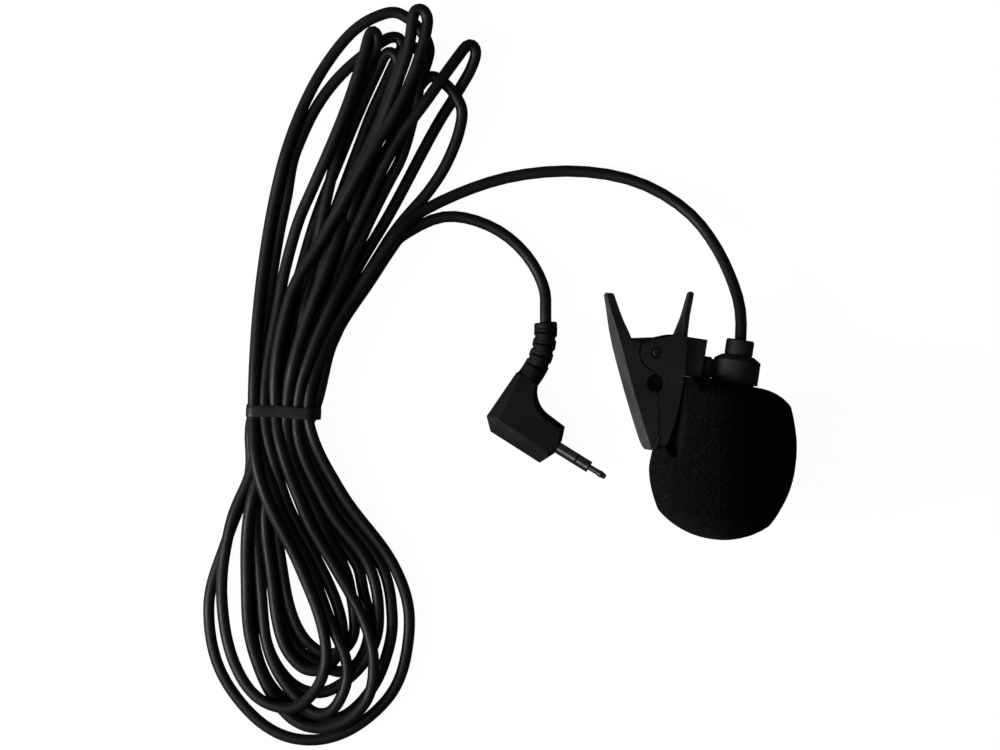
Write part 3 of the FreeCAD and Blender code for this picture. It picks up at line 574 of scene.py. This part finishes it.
def press_foam(place):
    """The soft foam as the clip leaves it: bulged up against the rail and round the jaws' tips."""
    x, y, z = (place / MM - np.array(MIC_AXIS)).T
    c, s = math.cos(CLIP_TILT), math.sin(CLIP_TILT)
    x, z = x * c - z * s, x * s + z * c
    behind = eased((-x - 4) / 4) * eased((9 - np.abs(z)) / 4)
    y = y + np.maximum(0, RAIL_MEETS + RAIL_RISE * eased(x + 8.2) - y) * behind * eased((y - 11.5) / 3)
    tips = eased((-x - 11.0) / 1.5) * eased((7 - np.abs(z)) / 3)
    y = y + TIP_RISE * tips * np.exp(-((y - 0.3) / 1.2) ** 2)
    x = x * (1 + WIDER_CLIP * eased(-x / 8) * eased((2 - y) / 6) + WIDER_FAR * eased(x / 8))
    return (np.column_stack([x * c + z * s, y, z * c - x * s]) + np.array(MIC_AXIS)) * MM


def add_windscreen():
    """Foam with open pores: the CAD ball's shape, evenly meshed and pitted all over."""
    rough = bpy.data.objects.new("rough", welded("windscreen"))
    bpy.context.scene.collection.objects.link(rough)
    remesh = rough.modifiers.new("even", "REMESH")
    remesh.mode = "VOXEL"
    remesh.voxel_size = 0.22 * MM
    smooth = rough.modifiers.new("smooth", "SMOOTH")
    smooth.iterations = 6
    mesh = as_mesh(rough)
    bpy.data.objects.remove(rough)
    count = len(mesh.vertices)
    place, normal = np.empty(count * 3), np.empty(count * 3)
    mesh.vertices.foreach_get("co", place)
    mesh.vertices.foreach_get("normal", normal)
    place, normal = place.reshape(-1, 3), normal.reshape(-1, 3)
    pore, lump = PORE * MM, LUMP * MM
    sink = np.empty(count)
    for i, point in enumerate(place):
        distance = noise.voronoi(Vector(point / pore))[0][0]
        open_cell = max(0.0, 1 - distance / PORE_REACH)
        sink[i] = PORE_DEPTH * open_cell**1.3 + LUMP_DEPTH * (noise.noise(Vector(point / lump)) + 0.3)
    place -= normal * sink[:, None] * MM
    place = press_foam(place)
    place[:, 2] = np.maximum(place[:, 2], 0.0)
    mesh.vertices.foreach_set("co", place.ravel())
    smooth_shaded(mesh)
    mesh.update()
    piece = stand_for("windscreen", mesh, "_foam")


def groove_depth(s, length, angle):
    """How deep the sleeve's skin is cut at a place along and round it: grooves across its top and bottom, shallow
    ones between them at its sides."""
    upright, level = abs(math.sin(angle)), abs(math.cos(angle))
    dip = 0.0
    for i in range(GROOVES):
        over = (s - length * (i + 1.25) / 4.5) / 0.46
        dip = max(dip, GROOVE_DEPTH * math.exp(-over**4) * min(1, max(0, (upright - 0.45) / 0.25)))
        if i < GROOVES - 1:
            beside = (s - length * (i + 1.7) / 4.5) / 0.40
            dip = max(dip, SIDE_DEPTH * math.exp(-beside**4) * min(1, max(0, (level - 0.55) / 0.25)))
    return dip


def add_relief():
    """The bent sleeve that guards the cable where it leaves the plug, with soft grooves moulded across it."""
    start, middle, end = (np.array(point) for point in RELIEF_ARC)
    sides = np.array([middle - start, end - start])
    centre = start + np.linalg.solve(sides, 0.5 * (sides**2).sum(1))
    bend = np.linalg.norm(start - centre)
    first, last = (math.atan2(*(p - centre)[::-1]) for p in (start, end))
    length = bend * (last - first)
    turn = np.array([[math.cos(PLUG_ANGLE), -math.sin(PLUG_ANGLE)], [math.sin(PLUG_ANGLE), math.cos(PLUG_ANGLE)]])
    rings, count, head = 130, 48, length + RELIEF_PAST
    shoulder = head - RELIEF_ROUND
    stations = list(np.linspace(-RELIEF_SUNK, shoulder, rings))
    stations += [shoulder + RELIEF_ROUND * math.sin(angle) for angle in (0.4, 0.8, 1.2, 1.57)]
    verts = []
    for k, s in enumerate(stations):
        out = np.array([math.cos(first + s / bend), math.sin(first + s / bend)])
        at = centre + out * bend
        base = RELIEF_R - RELIEF_TAPER * s / length
        if k >= rings:
            base -= RELIEF_ROUND * (1 - math.sqrt(max(0.0, 1 - ((s - shoulder) / RELIEF_ROUND) ** 2)))
        for j in range(count):
            angle = 2 * math.pi * j / count
            radius = base - groove_depth(s, length, angle)
            flat = np.array(PLUG_AT)[:2] + turn @ (at + out * radius * math.cos(angle))
            verts.append((flat[0] * MM, flat[1] * MM, (PLUG_AT.z + radius * math.sin(angle)) * MM))
    rows = len(stations)
    faces = [(i * count + j, i * count + (j + 1) % count, (i + 1) * count + (j + 1) % count, (i + 1) * count + j)
             for i in range(rows - 1) for j in range(count)]
    faces += [tuple(range(count))[::-1], tuple(range((rows - 1) * count, rows * count))]
    mesh = bpy.data.meshes.new("relief_sleeve")
    mesh.from_pydata(verts, [], faces)
    smooth_shaded(mesh)
    mesh.update()
    work = bmesh.new()
    work.from_mesh(mesh)
    bmesh.ops.recalc_face_normals(work, faces=work.faces)
    work.to_mesh(mesh)
    work.free()
    stand_for("plug_strain_relief", mesh, "_sleeve")


def hull_round(circles, radius):
    """The convex outline round circles of one radius, as points in order."""
    angles = np.linspace(0, 2 * math.pi, 24, endpoint=False)
    spots = sorted({(round(x + radius * math.cos(a), 4), round(y + radius * math.sin(a), 4))
                    for x, y in circles for a in angles})

    def half(points):
        chain = []
        for p in points:
            while len(chain) > 1:
                (ax, ay), (bx, by) = chain[-2], chain[-1]
                if (bx - ax) * (p[1] - ay) - (by - ay) * (p[0] - ax) > 0:
                    break
                chain.pop()
            chain.append(p)
        return chain[:-1]

    return np.array(half(spots) + half(spots[::-1]))


def closed_evenly(loop, count):
    loop = np.vstack([loop, loop[:1]])
    at = np.append(0, np.cumsum(np.linalg.norm(np.diff(loop, axis=0), axis=1)))
    even = np.linspace(0, at[-1], count, endpoint=False)
    return np.column_stack([np.interp(even, at, loop[:, i]) for i in range(2)])


def add_tie(hank):
    """A narrow plastic band drawn tight round the strands, with a slight wave along its edges."""
    across = np.array([math.cos(TIE_ANGLE), math.sin(TIE_ANGLE)])
    along = np.array([-across[1], across[0]])
    offset = hank[:, :2] - np.array(TIE_AT)[:2]
    near = np.abs(offset @ along) < 1.2
    near &= np.abs(offset @ across) < 9
    strands = np.column_stack([offset[near] @ across, hank[near, 2]])
    wall = 0.32
    loop = closed_evenly(hull_round(strands, CORD_R + wall / 2), 120)
    for _ in range(3):
        loop = 0.5 * loop + 0.25 * (np.roll(loop, 1, 0) + np.roll(loop, -1, 0))
    ahead = np.roll(loop, -1, 0) - np.roll(loop, 1, 0)
    outward = np.column_stack([ahead[:, 1], -ahead[:, 0]]) / np.linalg.norm(ahead, axis=1)[:, None]
    half = TIE_L / 2
    section = [(-half, -0.35), (-half * 0.93, -0.5), (half * 0.93, -0.5), (half, -0.35),
               (half, 0.35), (half * 0.9, 0.5), (half * 0.5, 0.56), (0, 0.58),
               (-half * 0.5, 0.56), (-half * 0.9, 0.5), (-half, 0.35)]
    verts = []
    for i, (spot, out) in enumerate(zip(loop, outward)):
        wave = 0.14 * math.sin(i * 2 * math.pi / len(loop) * 3 + 0.7)
        for lengthwise, thick in section:
            flat = spot + out * thick * wall
            place = np.array(TIE_AT)[:2] + across * flat[0] + along * (lengthwise + wave)
            verts.append((place[0] * MM, place[1] * MM, max(flat[1], 0.02) * MM))
    rings, sides = len(loop), len(section)
    faces = []
    for i in range(rings):
        for j in range(sides):
            a, b = i * sides + j, i * sides + (j + 1) % sides
            c, d = (i + 1) % rings * sides + (j + 1) % sides, (i + 1) % rings * sides + j
            faces.append((a, d, c, b))
    mesh = bpy.data.meshes.new("tie_band")
    mesh.from_pydata(verts, [], faces)
    smooth_shaded(mesh)
    mesh.update()
    stand_for("cable_tie", mesh, "_band")


def finish_nodes():
    """Gives every CAD node that stays its own material."""
    for part in frame["record"]["subparts"]:
        mesh = nodes[part["node"]].data
        mesh.materials.clear()
        mesh.materials.append(materials[part["material_slot"]])


add_camera()
add_stage()
materials = make_materials()
hank = settle(wound_path())
cable = add_cable(hank)
cable.data.materials.append(materials["cable_pvc"])
finish_nodes()
for node, width in EDGE_WIDTHS.items():
    soften(node, width)
add_windscreen()
add_relief()
add_tie(hank)

bpy.context.view_layer.update()
